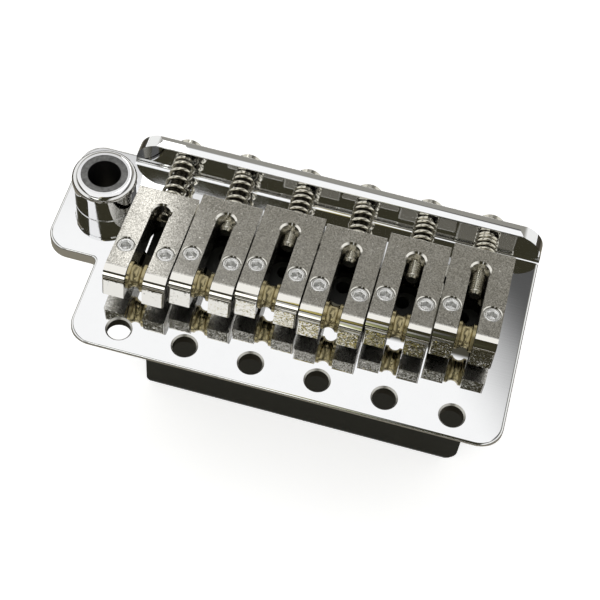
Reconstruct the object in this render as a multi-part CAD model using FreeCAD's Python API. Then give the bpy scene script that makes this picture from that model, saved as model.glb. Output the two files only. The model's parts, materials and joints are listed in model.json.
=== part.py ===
import FreeCAD, Part
import math
import os

V = FreeCAD.Vector
X_AXIS = V(1, 0, 0)
Y_AXIS = V(0, 1, 0)
Z_AXIS = V(0, 0, 1)
TINY = 1e-6

# Frame: millimetres, +X to the bass end, +Y to the tail, +Z up.
# The origin is the middle of the pivot hole row, on the top of the base plate.

# Strings and pivot holes
STRING_COUNT = 6
SADDLE_PITCH = 10.8
PIVOT_PITCH = 11.2
PIVOT_HOLE_DIA = 3.9
PIVOT_MOUTH_DIA = 4.5
PIVOT_MOUTH_DEPTH = 0.3

# Base plate, bent up at the tail from one sheet
SHEET = 2.5
FRONT_REACH = 4.0
LEFT_MARGIN = 3.85
RIGHT_MARGIN = 4.35
PLATE_CORNER = 4.2
EDGE_ROUND = 0.5
PIVOT_LIP = 0.1
BEVEL_REACH = 8.0
STRING_HOLE_WIDTH = 4.4
STRING_HOLE_LENGTH = 7.4
STRING_HOLE_FROM_WALL = 13.7

# Ear for the arm
EAR_FRONT_FROM_WALL = 21.7
EAR_PAST_WALL = 1.4
EAR_LAND = 1.35
EAR_CORNER = 4.0
EAR_INNER_CORNER = 1.0

# Tail wall
WALL_FRONT = 34.1
WALL_ABOVE_SCREW = 2.5
WALL_END_ROUND = 5.0
WALL_CROWN = 0.15
WALL_CROWN_ROUND = 3.0
WALL_EDGE_ROUND = 0.2
BEND_INSIDE = 0.8

# Saddles, a fork with a roller between the two arms
SADDLE_GAP = 0.3
SADDLE_LENGTH = 20.3
SADDLE_HEIGHT = 5.6
SADDLE_TILT = 6.1
SADDLE_NOSE_ROUND = 2.2
SADDLE_EDGE = 0.35
TAIL_CLEARANCE = 0.3
TAIL_WALL = 3.2
SLOT_WIDTH = 3.1
SLOT_CHAMFER = 0.3
POCKET_DEPTH = 0.5
POCKET_CLEARANCE = 0.3
WALL_TO_SADDLE = (9.35, 7.9, 6.75, 7.55, 6.15, 4.9)

# String rollers and their pins
ROLLER_DIA = 4.7
ROLLER_FROM_NOSE = 2.7
ROLLER_SIDE_CLEARANCE = 0.1
ROLLER_FLANGE = 0.5
ROLLER_GROOVE = 0.55
ROLLER_PIN_DIA = 1.2
ROLLER_PIN_RECESS = 0.15

# Height screws
HEIGHT_SCREW_DIA = 2.9
HEIGHT_SCREW_FROM_NOSE = 6.8
HEIGHT_SCREW_RECESS = 0.15
HEIGHT_SCREW_CHAMFER = 0.25
HEIGHT_HOLE_CHAMFER = 0.15
HEX_ACROSS = 1.5
HEX_DEPTH = 1.4
SEAT_GAP = 0.06

# Intonation screws and springs
SCREW_DIA = 2.4
SCREW_LENGTH = 15.2
SCREW_TIP_CHAMFER = 0.3
SCREW_HEAD_DIA = 4.4
SCREW_HEAD_RIM = 0.7
SCREW_HEAD_DOME = 0.9
SCREW_HEAD_GAP = 0.12
CROSS_WIDTH = 0.6
CROSS_SPAN = 2.4
CROSS_DEPTH = 1.0
WALL_HOLE_CLEARANCE = 0.35
SPRING_WIRE = 0.45
SPRING_TURNS = 5
SPRING_BORE_CLEARANCE = 0.2
SPRING_END_GAP = 0.06

# Sustain block and its screws
BLOCK_FRONT_FROM_WALL = 19.1
BLOCK_DEPTH = 14.0
BLOCK_FOOT_DEPTH = 10.5
BLOCK_HEIGHT = 40.3
BLOCK_TAPER_HEIGHT = 20.0
BLOCK_LEFT_MARGIN = 2.9
BLOCK_RIGHT_MARGIN = 6.1
BLOCK_LEFT_ROUND = 2.0
BLOCK_RIGHT_ROUND = 4.0
BLOCK_EDGE_ROUND = 0.8
BLOCK_STRING_PITCH = 10.4
BLOCK_STRING_DIA = 2.4
BALL_END_DIA = 4.0
BALL_END_STOP = 10.0
SPRING_HOLE_DIA = 2.5
SPRING_HOLE_DEPTH = 7.0
SPRING_HOLE_FROM_FRONT = 2.4
BLOCK_SCREW_COUNT = 3
BLOCK_SCREW_FROM_WALL = 8.9
BLOCK_SCREW_DIA = 4.0
BLOCK_SCREW_HEAD_DIA = 7.2
BLOCK_SCREW_LENGTH = 14.0
BLOCK_SCREW_SUNK = 0.1
BLOCK_SCREW_HEX = 2.5
BLOCK_SCREW_HEX_DEPTH = 1.2

# Arm socket on the ear
COLLAR_FROM_WALL = 9.15
COLLAR_TO_SADDLE = 0.85
COLLAR_CAP_DIA = 11.1
COLLAR_BODY_DIA = 10.8
COLLAR_HEIGHT = 6.5
COLLAR_CAP_HEIGHT = 1.6
COLLAR_CAP_ROUND = 1.1
COLLAR_FOOT_ROUND = 0.2
COLLAR_STEM_WALL = 0.75
COLLAR_STEM_TAIL = 1.0
BUSHING_WALL = 1.2
BUSHING_RECESS = 0.12
ARM_BORE_DIA = 5.6
WASHER_THICKNESS = 0.8
NUT_THICKNESS = 2.6
NUT_ACROSS = 12.0

# Clearances of fits
PRESS_FIT = 0.01
RUNNING_FIT = 0.05

# Values worked out from the sizes above
tilt = math.radians(SADDLE_TILT)
half_span = (STRING_COUNT - 1) / 2
saddle_width = SADDLE_PITCH - SADDLE_GAP
saddle_outer = half_span * SADDLE_PITCH + saddle_width / 2
plate_left = -(saddle_outer + LEFT_MARGIN)
plate_right = saddle_outer + RIGHT_MARGIN
plate_lip = EDGE_ROUND + PIVOT_LIP
wall_rear = WALL_FRONT + SHEET
bend_start = WALL_FRONT - BEND_INSIDE
screw_height = TAIL_CLEARANCE + SADDLE_HEIGHT / 2 * math.cos(tilt)
wall_top = screw_height + WALL_ABOVE_SCREW
collar_x = -(saddle_outer + COLLAR_TO_SADDLE + COLLAR_CAP_DIA / 2)
collar_y = WALL_FRONT - COLLAR_FROM_WALL
ear_left = collar_x - COLLAR_CAP_DIA / 2 - EAR_LAND
ear_front = WALL_FRONT - EAR_FRONT_FROM_WALL
ear_rear = WALL_FRONT + EAR_PAST_WALL
bushing_dia = ARM_BORE_DIA + 2 * BUSHING_WALL
collar_bore = bushing_dia + 2 * PRESS_FIT
stem_dia = collar_bore + 2 * COLLAR_STEM_WALL
stem_bottom = -(SHEET + WASHER_THICKNESS + NUT_THICKNESS + COLLAR_STEM_TAIL)
block_front = WALL_FRONT - BLOCK_FRONT_FROM_WALL
block_left = -(half_span * BLOCK_STRING_PITCH + BLOCK_LEFT_MARGIN)
block_right = half_span * BLOCK_STRING_PITCH + BLOCK_RIGHT_MARGIN
block_bottom = -(SHEET + BLOCK_HEIGHT)
string_hole_y = WALL_FRONT - STRING_HOLE_FROM_WALL
block_screw_y = WALL_FRONT - BLOCK_SCREW_FROM_WALL
block_screw_pitch = 2 * BLOCK_STRING_PITCH
height_screw_x = (SLOT_WIDTH + saddle_width) / 4
spring_radius = SCREW_DIA / 2 + SPRING_BORE_CLEARANCE + SPRING_WIRE / 2
pocket_dia = 2 * spring_radius + SPRING_WIRE + 2 * POCKET_CLEARANCE

os.makedirs("parts", exist_ok=True)


def row(count, pitch):
    """Evenly spaced places along X, centred on the origin."""
    return [(i - (count - 1) / 2) * pitch for i in range(count)]


def line(a, b):
    return Part.LineSegment(a, b).toShape()


def rounded_face(corners):
    """A flat face through (point, radius) corners, each rounded by a tangent arc unless that is zero."""
    edges = []
    starts = []
    ends = []
    count = len(corners)
    for i in range(count):
        point, radius = corners[i]
        before = (corners[i - 1][0] - point).normalize()
        after = (corners[(i + 1) % count][0] - point).normalize()
        half = before.getAngle(after) / 2
        reach = radius / math.tan(half)
        starts.append(point + before * reach)
        ends.append(point + after * reach)
    for i in range(count):
        point, radius = corners[i]
        if radius > 0:
            inward = (starts[i] + ends[i]) * 0.5 - point
            centre_distance = math.sqrt(radius ** 2 + (starts[i] - point).Length ** 2)
            middle = point + inward.normalize() * (centre_distance - radius)
            edges.append(Part.Arc(starts[i], middle, ends[i]).toShape())
        following = starts[(i + 1) % count]
        if (following - ends[i]).Length > TINY:
            edges.append(line(ends[i], following))
    return Part.Face(Part.Wire(edges))


def cylinder(radius, length, base, axis):
    return Part.makeCylinder(radius, length, base, axis)


def hex_prism(across, height, base):
    """An upright hexagonal prism that stands on base."""
    sides = 6
    radius = across / 2 / math.cos(math.pi / sides)
    points = []
    for i in range(sides):
        angle = 2 * math.pi * i / sides
        points.append(base + V(radius * math.cos(angle), radius * math.sin(angle), 0))
    return section(points).extrude(V(0, 0, height))


def turned(profile, base, axis):
    """The solid that a closed face sweeps in one turn."""
    return profile.revolve(base, axis, 360)


def section(points):
    """A flat face through straight-sided points."""
    return Part.Face(Part.makePolygon(points + points[:1]))


def base_plate():
    """Flat plate with its ear, pivot bevel and holes, bent up into the tail wall."""
    outline = rounded_face([
        (V(plate_right, bend_start, -SHEET), 0),
        (V(plate_left, bend_start, -SHEET), 0),
        (V(plate_left, ear_rear, -SHEET), 0),
        (V(ear_left, ear_rear, -SHEET), EAR_CORNER),
        (V(ear_left, ear_front, -SHEET), EAR_CORNER),
        (V(plate_left, ear_front, -SHEET), EAR_INNER_CORNER),
        (V(plate_left, -FRONT_REACH, -SHEET), PLATE_CORNER),
        (V(plate_right, -FRONT_REACH, -SHEET), PLATE_CORNER),
    ])
    flat = outline.extrude(V(0, 0, SHEET))
    rim = [e for e in flat.Edges if on_open_rim(e)]
    flat = flat.makeFillet(EDGE_ROUND, rim)
    bevel = section([
        V(ear_left, -FRONT_REACH, -plate_lip),
        V(ear_left, BEVEL_REACH - FRONT_REACH, -SHEET),
        V(ear_left, -FRONT_REACH, -SHEET),
    ]).extrude(V(plate_right - ear_left, 0, 0))
    plate = flat.cut(bevel).fuse(tail_wall()).removeSplitter()
    for x in row(STRING_COUNT, PIVOT_PITCH):
        plate = plate.cut(pivot_hole(x))
    hole_radius = SCREW_DIA / 2 + WALL_HOLE_CLEARANCE
    for x in row(STRING_COUNT, SADDLE_PITCH):
        plate = plate.cut(string_hole(x))
        plate = plate.cut(cylinder(hole_radius, SHEET, V(x, WALL_FRONT, screw_height), Y_AXIS))
    for x in row(BLOCK_SCREW_COUNT, block_screw_pitch):
        plate = plate.cut(countersink(x))
    stem_hole = stem_dia / 2 + RUNNING_FIT
    return plate.cut(cylinder(stem_hole, SHEET, V(collar_x, collar_y, -SHEET), Z_AXIS))


def pivot_hole(x):
    """The space of one pivot hole, which opens in a cone at the top of the plate."""
    hole = PIVOT_HOLE_DIA / 2
    profile = section([
        V(x, 0, 0),
        V(x + PIVOT_MOUTH_DIA / 2, 0, 0),
        V(x + hole, 0, -PIVOT_MOUTH_DEPTH),
        V(x + hole, 0, -SHEET),
        V(x, 0, -SHEET),
    ])
    return turned(profile, V(x, 0, 0), Z_AXIS)


def string_hole(x):
    """The space of one oblong string hole, whose tail end is over the block's hole."""
    half = STRING_HOLE_WIDTH / 2
    rear = string_hole_y + half
    front = rear - STRING_HOLE_LENGTH
    return rounded_face([
        (V(x - half, front, -SHEET), half),
        (V(x + half, front, -SHEET), half),
        (V(x + half, rear, -SHEET), half),
        (V(x - half, rear, -SHEET), half),
    ]).extrude(V(0, 0, SHEET))


def on_open_rim(edge):
    """Whether an edge is on the top of the flat plate, away from the bend."""
    box = edge.BoundBox
    if box.ZMin < -SHEET / 2:
        return False
    along_bend = box.YMin > bend_start - EDGE_ROUND and box.XMin > plate_left - EDGE_ROUND
    return not along_bend


def tail_wall():
    """The sheet's bend and upright, with rounded ends and a crowned top edge."""
    outside = BEND_INSIDE + SHEET
    shoulder = wall_top - WALL_CROWN
    middle = (WALL_FRONT + wall_rear) / 2
    profile = rounded_face([
        (V(plate_left, bend_start, -SHEET), 0),
        (V(plate_left, wall_rear, -SHEET), outside),
        (V(plate_left, wall_rear, shoulder), WALL_EDGE_ROUND),
        (V(plate_left, middle, wall_top), WALL_CROWN_ROUND),
        (V(plate_left, WALL_FRONT, shoulder), WALL_EDGE_ROUND),
        (V(plate_left, WALL_FRONT, 0), BEND_INSIDE),
        (V(plate_left, bend_start, 0), 0),
    ])
    strip = profile.extrude(V(plate_right - plate_left, 0, 0))
    elevation = rounded_face([
        (V(plate_left, bend_start, -SHEET), 0),
        (V(plate_right, bend_start, -SHEET), 0),
        (V(plate_right, bend_start, wall_top), WALL_END_ROUND),
        (V(plate_left, bend_start, wall_top), WALL_END_ROUND),
    ]).extrude(V(0, wall_rear - bend_start, 0))
    return strip.common(elevation)


def countersink(x):
    """The space that a block screw takes in the plate, open to the top."""
    slack = RUNNING_FIT
    head = BLOCK_SCREW_HEAD_DIA / 2 + slack
    shank = BLOCK_SCREW_DIA / 2 + slack
    cone = head - shank
    profile = section([
        V(x, block_screw_y, 0),
        V(x + head, block_screw_y, 0),
        V(x + head, block_screw_y, -BLOCK_SCREW_SUNK),
        V(x + shank, block_screw_y, -BLOCK_SCREW_SUNK - cone),
        V(x + shank, block_screw_y, -SHEET),
        V(x, block_screw_y, -SHEET),
    ])
    return turned(profile, V(x, block_screw_y, 0), Z_AXIS)


def block_screw(x):
    """Countersunk screw that ties the block to the plate, with a hexagon socket."""
    head = BLOCK_SCREW_HEAD_DIA / 2
    shank = BLOCK_SCREW_DIA / 2
    top = -BLOCK_SCREW_SUNK
    profile = section([
        V(x, block_screw_y, top),
        V(x + head, block_screw_y, top),
        V(x + shank, block_screw_y, top - head + shank),
        V(x + shank, block_screw_y, top - BLOCK_SCREW_LENGTH),
        V(x, block_screw_y, top - BLOCK_SCREW_LENGTH),
    ])
    socket = V(x, block_screw_y, top - BLOCK_SCREW_HEX_DEPTH)
    screw = turned(profile, V(x, block_screw_y, 0), Z_AXIS)
    return screw.cut(hex_prism(BLOCK_SCREW_HEX, BLOCK_SCREW_HEX_DEPTH, socket))


def sustain_block():
    """Block under the plate, tapered at the tail, drilled for strings, tremolo springs and its screws."""
    rear = block_front + BLOCK_DEPTH
    foot_rear = block_front + BLOCK_FOOT_DEPTH
    taper_top = block_bottom + BLOCK_TAPER_HEIGHT
    side = rounded_face([
        (V(block_left, block_front, -SHEET), 0),
        (V(block_left, block_front, block_bottom), BLOCK_EDGE_ROUND),
        (V(block_left, foot_rear, block_bottom), BLOCK_EDGE_ROUND),
        (V(block_left, rear, taper_top), BLOCK_EDGE_ROUND),
        (V(block_left, rear, -SHEET), 0),
    ]).extrude(V(block_right - block_left, 0, 0))
    front = rounded_face([
        (V(block_left, block_front, -SHEET), 0),
        (V(block_right, block_front, -SHEET), 0),
        (V(block_right, block_front, block_bottom), BLOCK_RIGHT_ROUND),
        (V(block_left, block_front, block_bottom), BLOCK_LEFT_ROUND),
    ]).extrude(V(0, BLOCK_DEPTH, 0))
    block = side.common(front)
    chamber_length = BLOCK_HEIGHT - BALL_END_STOP
    for x in row(STRING_COUNT, BLOCK_STRING_PITCH):
        foot = V(x, string_hole_y, block_bottom)
        block = block.cut(cylinder(BLOCK_STRING_DIA / 2, BLOCK_HEIGHT, foot, Z_AXIS))
        block = block.cut(cylinder(BALL_END_DIA / 2, chamber_length, foot, Z_AXIS))
    for x in row(STRING_COUNT - 1, BLOCK_STRING_PITCH):
        foot = V(x, block_front + SPRING_HOLE_FROM_FRONT, block_bottom)
        block = block.cut(cylinder(SPRING_HOLE_DIA / 2, SPRING_HOLE_DEPTH, foot, Z_AXIS))
    depth = BLOCK_SCREW_LENGTH + BLOCK_SCREW_SUNK - SHEET + RUNNING_FIT
    for x in row(BLOCK_SCREW_COUNT, block_screw_pitch):
        base = V(x, block_screw_y, -SHEET - depth)
        block = block.cut(cylinder(BLOCK_SCREW_DIA / 2 + PRESS_FIT, depth, base, Z_AXIS))
    return block


def tail_y(string):
    """Where a string's screw meets the back of its saddle."""
    return WALL_FRONT - WALL_TO_SADDLE[string]


def seated(shape, string):
    """Moves a shape from the saddle's own frame, whose origin is on the back face, to its tilted place."""
    placed = shape.copy()
    placed.rotate(V(0, 0, 0), X_AXIS, -SADDLE_TILT)
    placed.translate(V(row(STRING_COUNT, SADDLE_PITCH)[string], tail_y(string), screw_height))
    return placed


def saddle(string):
    """Forked saddle with a rolled nose, a through slot, a spring pocket and holes for its screws and pin."""
    low = -SADDLE_HEIGHT / 2
    high = SADDLE_HEIGHT / 2
    half = saddle_width / 2
    nose = -SADDLE_LENGTH
    side = rounded_face([
        (V(-half, nose, low), 0),
        (V(-half, 0, low), 0),
        (V(-half, 0, high), SADDLE_EDGE),
        (V(-half, nose, high), SADDLE_NOSE_ROUND),
    ]).extrude(V(saddle_width, 0, 0))
    plan = rounded_face([
        (V(-half, nose, low), SADDLE_EDGE),
        (V(half, nose, low), SADDLE_EDGE),
        (V(half, 0, low), SADDLE_EDGE),
        (V(-half, 0, low), SADDLE_EDGE),
    ]).extrude(V(0, 0, SADDLE_HEIGHT))
    body = side.common(plan)
    slot_end = -TAIL_WALL - SLOT_WIDTH / 2
    body = body.cut(slot(SLOT_WIDTH / 2, slot_end, low, SADDLE_HEIGHT))
    body = body.cut(slot_lead(slot_end, high))
    hole = HEIGHT_SCREW_DIA / 2 + RUNNING_FIT
    for x in (-height_screw_x, height_screw_x):
        base = V(x, nose + HEIGHT_SCREW_FROM_NOSE, low)
        body = body.cut(cylinder(hole, SADDLE_HEIGHT, base, Z_AXIS))
        lead = V(x, base.y, high - HEIGHT_HOLE_CHAMFER)
        body = body.cut(Part.makeCone(hole, hole + HEIGHT_HOLE_CHAMFER, HEIGHT_HOLE_CHAMFER, lead, Z_AXIS))
    pin_hole = ROLLER_PIN_DIA / 2 + PRESS_FIT
    body = body.cut(cylinder(pin_hole, saddle_width, roller_centre() - V(half, 0, 0), X_AXIS))
    body = seated(body, string)
    x = row(STRING_COUNT, SADDLE_PITCH)[string]
    bore_start = V(x, tail_y(string) - TAIL_WALL - SLOT_WIDTH, screw_height)
    bore_length = TAIL_WALL + SLOT_WIDTH
    body = body.cut(cylinder(SCREW_DIA / 2 + RUNNING_FIT, bore_length, bore_start, Y_AXIS))
    pocket = V(x, tail_y(string) - POCKET_DEPTH, screw_height)
    return body.cut(cylinder(pocket_dia / 2, 2 * POCKET_DEPTH, pocket, Y_AXIS))


def slot(radius, end, base, height):
    """An upright slot, round at its tail end and open past the nose."""
    reach = SADDLE_LENGTH + end
    straight = Part.makeBox(2 * radius, reach, height, V(-radius, -SADDLE_LENGTH, base))
    return straight.fuse(cylinder(radius, height, V(0, end, base), Z_AXIS))


def slot_lead(end, top):
    """The chamfer round the tail end of the slot."""
    radius = SLOT_WIDTH / 2
    return Part.makeCone(radius, radius + SLOT_CHAMFER, SLOT_CHAMFER, V(0, end, top - SLOT_CHAMFER), Z_AXIS)


def roller_centre():
    """The pin's middle in the saddle's own frame: the roller's top is level with the saddle's."""
    return V(0, -SADDLE_LENGTH + ROLLER_FROM_NOSE, (SADDLE_HEIGHT - ROLLER_DIA) / 2)


def string_roller(string):
    """Grooved roller that carries the string between the saddle's arms."""
    half = SLOT_WIDTH / 2 - ROLLER_SIDE_CLEARANCE
    rim = ROLLER_DIA / 2
    bore = ROLLER_PIN_DIA / 2 + RUNNING_FIT
    groove = half - ROLLER_FLANGE
    centre = roller_centre()
    edges = [
        line(V(-half, 0, bore), V(-half, 0, rim)),
        line(V(-half, 0, rim), V(-groove, 0, rim)),
        Part.Arc(V(-groove, 0, rim), V(0, 0, rim - ROLLER_GROOVE), V(groove, 0, rim)).toShape(),
        line(V(groove, 0, rim), V(half, 0, rim)),
        line(V(half, 0, rim), V(half, 0, bore)),
        line(V(half, 0, bore), V(-half, 0, bore)),
    ]
    profile = Part.Face(Part.Wire(edges))
    roller = turned(profile, V(0, 0, 0), X_AXIS)
    roller.translate(centre)
    return seated(roller, string)


def roller_pin(string):
    """Plain pin pressed through both arms of the saddle."""
    length = saddle_width - 2 * ROLLER_PIN_RECESS
    start = roller_centre() - V(length / 2, 0, 0)
    return seated(cylinder(ROLLER_PIN_DIA / 2, length, start, X_AXIS), string)


def height_screw(string, side):
    """Socket screw through one arm of the saddle, whose round tip stands on the plate."""
    radius = HEIGHT_SCREW_DIA / 2
    forward = SADDLE_LENGTH - HEIGHT_SCREW_FROM_NOSE
    axis_rise = screw_height + forward * math.sin(tilt)
    ball = (radius + SEAT_GAP - axis_rise) / math.cos(tilt)
    top = SADDLE_HEIGHT / 2 - HEIGHT_SCREW_RECESS
    rim = radius - HEIGHT_SCREW_CHAMFER
    shoulder = top - HEIGHT_SCREW_CHAMFER
    diagonal = radius * math.sqrt(0.5)
    edges = [
        line(V(0, 0, top), V(rim, 0, top)),
        line(V(rim, 0, top), V(radius, 0, shoulder)),
        line(V(radius, 0, shoulder), V(radius, 0, ball)),
        Part.Arc(V(radius, 0, ball), V(diagonal, 0, ball - diagonal), V(0, 0, ball - radius)).toShape(),
        line(V(0, 0, ball - radius), V(0, 0, top)),
    ]
    screw = turned(Part.Face(Part.Wire(edges)), V(0, 0, 0), Z_AXIS)
    screw = screw.cut(hex_prism(HEX_ACROSS, HEX_DEPTH, V(0, 0, top - HEX_DEPTH)))
    screw.translate(V(side * height_screw_x, -forward, 0))
    return seated(screw, string)


def intonation_screw(string):
    """Level screw through the wall into the saddle, with a domed cross-recess head behind the wall."""
    x = row(STRING_COUNT, SADDLE_PITCH)[string]
    seat = wall_rear + SCREW_HEAD_GAP
    shank = SCREW_DIA / 2
    head = SCREW_HEAD_DIA / 2
    tip = seat - SCREW_LENGTH
    crown = seat + SCREW_HEAD_RIM + SCREW_HEAD_DOME
    sphere = (head ** 2 + SCREW_HEAD_DOME ** 2) / (2 * SCREW_HEAD_DOME)
    halfway = math.asin(head / sphere) / 2
    middle = V(sphere * math.sin(halfway), crown - sphere + sphere * math.cos(halfway), 0)
    edges = [
        line(V(0, tip, 0), V(shank - SCREW_TIP_CHAMFER, tip, 0)),
        line(V(shank - SCREW_TIP_CHAMFER, tip, 0), V(shank, tip + SCREW_TIP_CHAMFER, 0)),
        line(V(shank, tip + SCREW_TIP_CHAMFER, 0), V(shank, seat, 0)),
        line(V(shank, seat, 0), V(head, seat, 0)),
        line(V(head, seat, 0), V(head, seat + SCREW_HEAD_RIM, 0)),
        Part.Arc(V(head, seat + SCREW_HEAD_RIM, 0), middle, V(0, crown, 0)).toShape(),
        line(V(0, crown, 0), V(0, tip, 0)),
    ]
    screw = turned(Part.Face(Part.Wire(edges)), V(0, 0, 0), Y_AXIS)
    floor = crown - CROSS_DEPTH
    wide = Part.makeBox(CROSS_SPAN, CROSS_DEPTH, CROSS_WIDTH, V(-CROSS_SPAN / 2, floor, -CROSS_WIDTH / 2))
    tall = Part.makeBox(CROSS_WIDTH, CROSS_DEPTH, CROSS_SPAN, V(-CROSS_WIDTH / 2, floor, -CROSS_SPAN / 2))
    screw = screw.cut(wide.fuse(tall))
    screw.translate(V(x, 0, screw_height))
    return screw


def arc_from(start, tangent, end):
    """The arc that leaves start along a tangent and ends at end."""
    chord = end - start
    along = V(chord).normalize()
    lean = tangent - along * tangent.dot(along)
    bulge = chord.Length / 2 * math.tan(tangent.getAngle(along) / 2)
    middle = (start + end) * 0.5 + lean.normalize() * bulge
    return Part.Arc(start, middle, end)


def biarc(start, start_tangent, end, end_tangent):
    """Two arcs that join two points of a curve and keep both tangents."""
    gap = end - start
    total = start_tangent + end_tangent
    spread = 2 * (1 - start_tangent.dot(end_tangent))
    reach = (math.sqrt(gap.dot(total) ** 2 + spread * gap.dot(gap)) - gap.dot(total)) / spread
    joint = (start + start_tangent * reach + end - end_tangent * reach) * 0.5
    second = arc_from(end, end_tangent * -1, joint)
    return [arc_from(start, start_tangent, joint), second]


def spring_path(x, start_y, end_y):
    """The wire's centre line: a helix about Y in quarter turns, with straight ends square to the screw."""
    steps = 4 * SPRING_TURNS
    rise = (end_y - start_y) / (2 * math.pi * SPRING_TURNS * spring_radius)
    points = []
    tangents = []
    for i in range(steps + 1):
        angle = math.pi / 2 * i
        slope = 0 if i in (0, steps) else rise
        y = start_y + (end_y - start_y) * i / steps
        around = V(math.sin(angle), 0, math.cos(angle)) * spring_radius
        points.append(V(x, y, screw_height) + around)
        tangents.append(V(math.cos(angle), slope, -math.sin(angle)).normalize())
    curves = [Part.LineSegment(points[0] - tangents[0] * SPRING_WIRE, points[0])]
    for i in range(steps):
        curves += biarc(points[i], tangents[i], points[i + 1], tangents[i + 1])
    curves.append(Part.LineSegment(points[-1], points[-1] + tangents[-1] * SPRING_WIRE))
    return curves


def least_turn_gap(curves):
    """The least distance between one turn's wire and the next, on points along the wire."""
    samples = []
    per_arc = 6
    for curve in curves[1:-1]:
        first, last = curve.FirstParameter, curve.LastParameter
        samples += [curve.value(first + (last - first) * k / per_arc) for k in range(per_arc)]
    if samples[0].y > samples[-1].y:
        samples.reverse()
    turn = len(samples) // SPRING_TURNS
    half_turn = turn // 2
    least = min(
        (samples[i] - samples[j]).Length
        for i in range(len(samples))
        for j in range(i + half_turn, min(i + 2 * turn, len(samples)))
    )
    return least - SPRING_WIRE


def intonation_spring(string):
    """Coil spring round the screw, from the saddle's pocket to the wall."""
    x = row(STRING_COUNT, SADDLE_PITCH)[string]
    rest = SPRING_WIRE / 2 + SPRING_END_GAP
    start_y = tail_y(string) - POCKET_DEPTH + rest
    end_y = WALL_FRONT - rest
    curves = spring_path(x, start_y, end_y)
    print("spring", string + 1, "least gap between turns", round(least_turn_gap(curves), 3), "mm")
    wire = Part.Wire([c.toShape() for c in curves])
    start = curves[0].StartPoint
    circle = Part.Wire(Part.Circle(start, X_AXIS, SPRING_WIRE / 2).toShape())
    pipe = Part.BRepOffsetAPI.MakePipeShell(wire)
    pipe.add(circle)
    pipe.build()
    pipe.makeSolid()
    return pipe.shape()


def arm_collar():
    """Turned socket that stands on the ear, with a rolled cap and a stem through the plate."""
    bore = collar_bore / 2
    body = COLLAR_BODY_DIA / 2
    cap = COLLAR_CAP_DIA / 2
    stem = stem_dia / 2
    cap_bottom = COLLAR_HEIGHT - COLLAR_CAP_HEIGHT
    profile = rounded_face([
        (V(bore, 0, stem_bottom), 0),
        (V(stem, 0, stem_bottom), 0),
        (V(stem, 0, 0), 0),
        (V(body, 0, 0), COLLAR_FOOT_ROUND),
        (V(body, 0, cap_bottom), 0),
        (V(cap, 0, cap_bottom), 0),
        (V(cap, 0, COLLAR_HEIGHT), COLLAR_CAP_ROUND),
        (V(bore, 0, COLLAR_HEIGHT), 0),
    ])
    collar = turned(profile, V(0, 0, 0), Z_AXIS)
    collar.translate(V(collar_x, collar_y, 0))
    return collar


def ring(outer, inner, bottom, top):
    """An upright ring on the arm's axis."""
    base = V(collar_x, collar_y, bottom)
    tube = cylinder(outer, top - bottom, base, Z_AXIS)
    return tube.cut(cylinder(inner, top - bottom, base, Z_AXIS))


def arm_bushing():
    """Plastic sleeve that the arm turns in."""
    return ring(bushing_dia / 2, ARM_BORE_DIA / 2, stem_bottom, COLLAR_HEIGHT - BUSHING_RECESS)


def collar_washer():
    """Plain washer between the plate and the nut."""
    return ring(NUT_ACROSS / 2, stem_dia / 2 + RUNNING_FIT, -SHEET - WASHER_THICKNESS, -SHEET)


def collar_nut():
    """Thin hexagon nut that pulls the collar down on the ear."""
    bottom = -SHEET - WASHER_THICKNESS - NUT_THICKNESS
    base = V(collar_x, collar_y, bottom)
    nut = hex_prism(NUT_ACROSS, NUT_THICKNESS, base)
    return nut.cut(cylinder(stem_dia / 2 + PRESS_FIT, NUT_THICKNESS, base, Z_AXIS))


nodes = {
    "base_plate": base_plate(),
    "sustain_block": sustain_block(),
    "block_screws": Part.makeCompound([block_screw(x) for x in row(BLOCK_SCREW_COUNT, block_screw_pitch)]),
    "arm_collar": arm_collar(),
    "arm_bushing": arm_bushing(),
    "collar_washer": collar_washer(),
    "collar_nut": collar_nut(),
}
for string in range(STRING_COUNT):
    number = string + 1
    nodes[f"saddle_{number}"] = saddle(string)
    nodes[f"string_roller_{number}"] = string_roller(string)
    nodes[f"roller_pin_{number}"] = roller_pin(string)
    nodes[f"height_screw_{number}_left"] = height_screw(string, -1)
    nodes[f"height_screw_{number}_right"] = height_screw(string, 1)
    nodes[f"intonation_screw_{number}"] = intonation_screw(string)
    nodes[f"intonation_spring_{number}"] = intonation_spring(string)

for name, shape in nodes.items():
    shape.exportStep(f"parts/{name}.step")
    print(name, "solids", len(shape.Solids), "valid", shape.isValid(), "volume", round(shape.Volume, 2))
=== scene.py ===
# %% [markdown]
# # A guitar's tremolo bridge
# A chromed plate, bent up at the tail, carries six saddles with rollers, and a black block hangs below it.
# The packed CAD frame already has the shapes. This lesson gives them their finishes, cuts the screw
# threads, winds the springs, and sets up a small studio with a camera.

# %% Load the frame
import json
import math

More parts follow.
